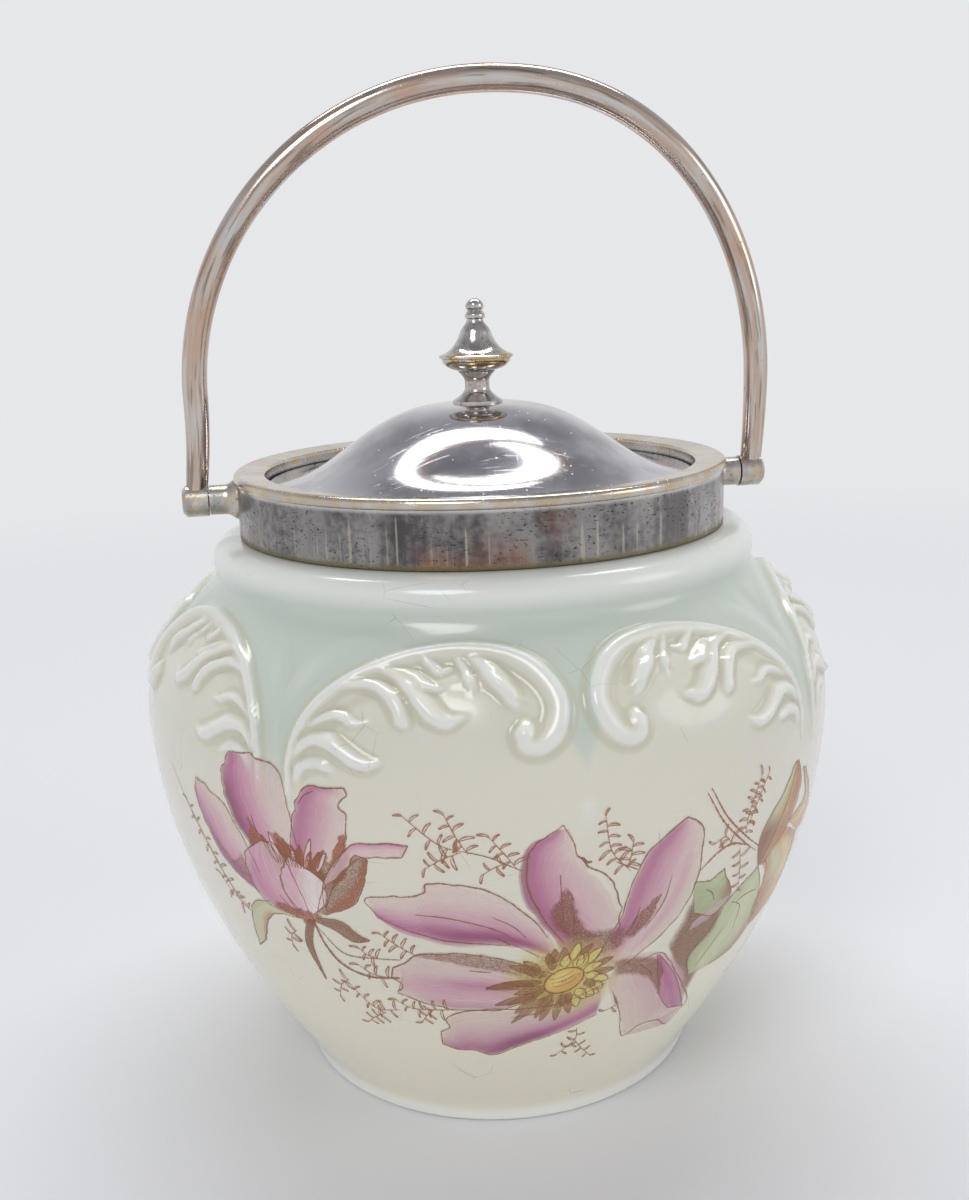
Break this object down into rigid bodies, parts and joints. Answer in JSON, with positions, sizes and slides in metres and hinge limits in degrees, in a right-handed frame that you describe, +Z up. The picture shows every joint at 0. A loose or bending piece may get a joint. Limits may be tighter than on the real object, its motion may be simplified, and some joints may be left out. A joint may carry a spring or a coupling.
{
  "type": "biscuit jar",
  "caption": "Covered biscuit jar: moulded opal glass body, plated metal collar, lift-off domed lid with a turned finial, and a bail handle that swings on two lugs.",
  "frame": {"origin": "centre of the foot, on the surface that the jar stands on", "axes": "+Z up along the jar's axis, +X along the bail's pivots, -Y the front"},
  "size_m": [0.1536, 0.1536, 0.2179],
  "materials": {
    "opal_glass": "satin opal glass, cream shading to green",
    "plaster": "set plaster",
    "collar_plate": "worn silver plate",
    "bail_plate": "worn silver plate, warm",
    "lid_plate": "polished silver plate, scratched",
    "finial_plate": "silver plate worn to brass",
    "pin_steel": "plain",
    "fixing_brass": "plain"
  },
  "bodies": {
    "jar": {"glass_jar": "opal_glass", "plaster_bed": "plaster", "collar": "collar_plate", "lug_right": "collar_plate", "lug_left": "collar_plate", "pivot_pin_right": "pin_steel", "pivot_pin_left": "pin_steel"},
    "bail": {"bail_bow": "bail_plate", "knuckle_right": "bail_plate", "knuckle_left": "bail_plate"},
    "lid": {"lid": "lid_plate", "finial_foot": "finial_plate", "finial_bell": "finial_plate", "finial_stud": "fixing_brass", "finial_washer": "fixing_brass", "finial_nut": "fixing_brass"}
  },
  "joints": [
    {"name": "bail_swing", "type": "hinge", "parent": "jar", "child": "bail", "pos_m": [0, 0, 0.1298], "axis": [1, 0, 0], "range_deg": [-112, 112]},
    {"name": "lid_lift", "type": "slide", "parent": "jar", "child": "lid", "axis": [0, 0, 1], "range_m": [0, 0.04]}
  ]
}
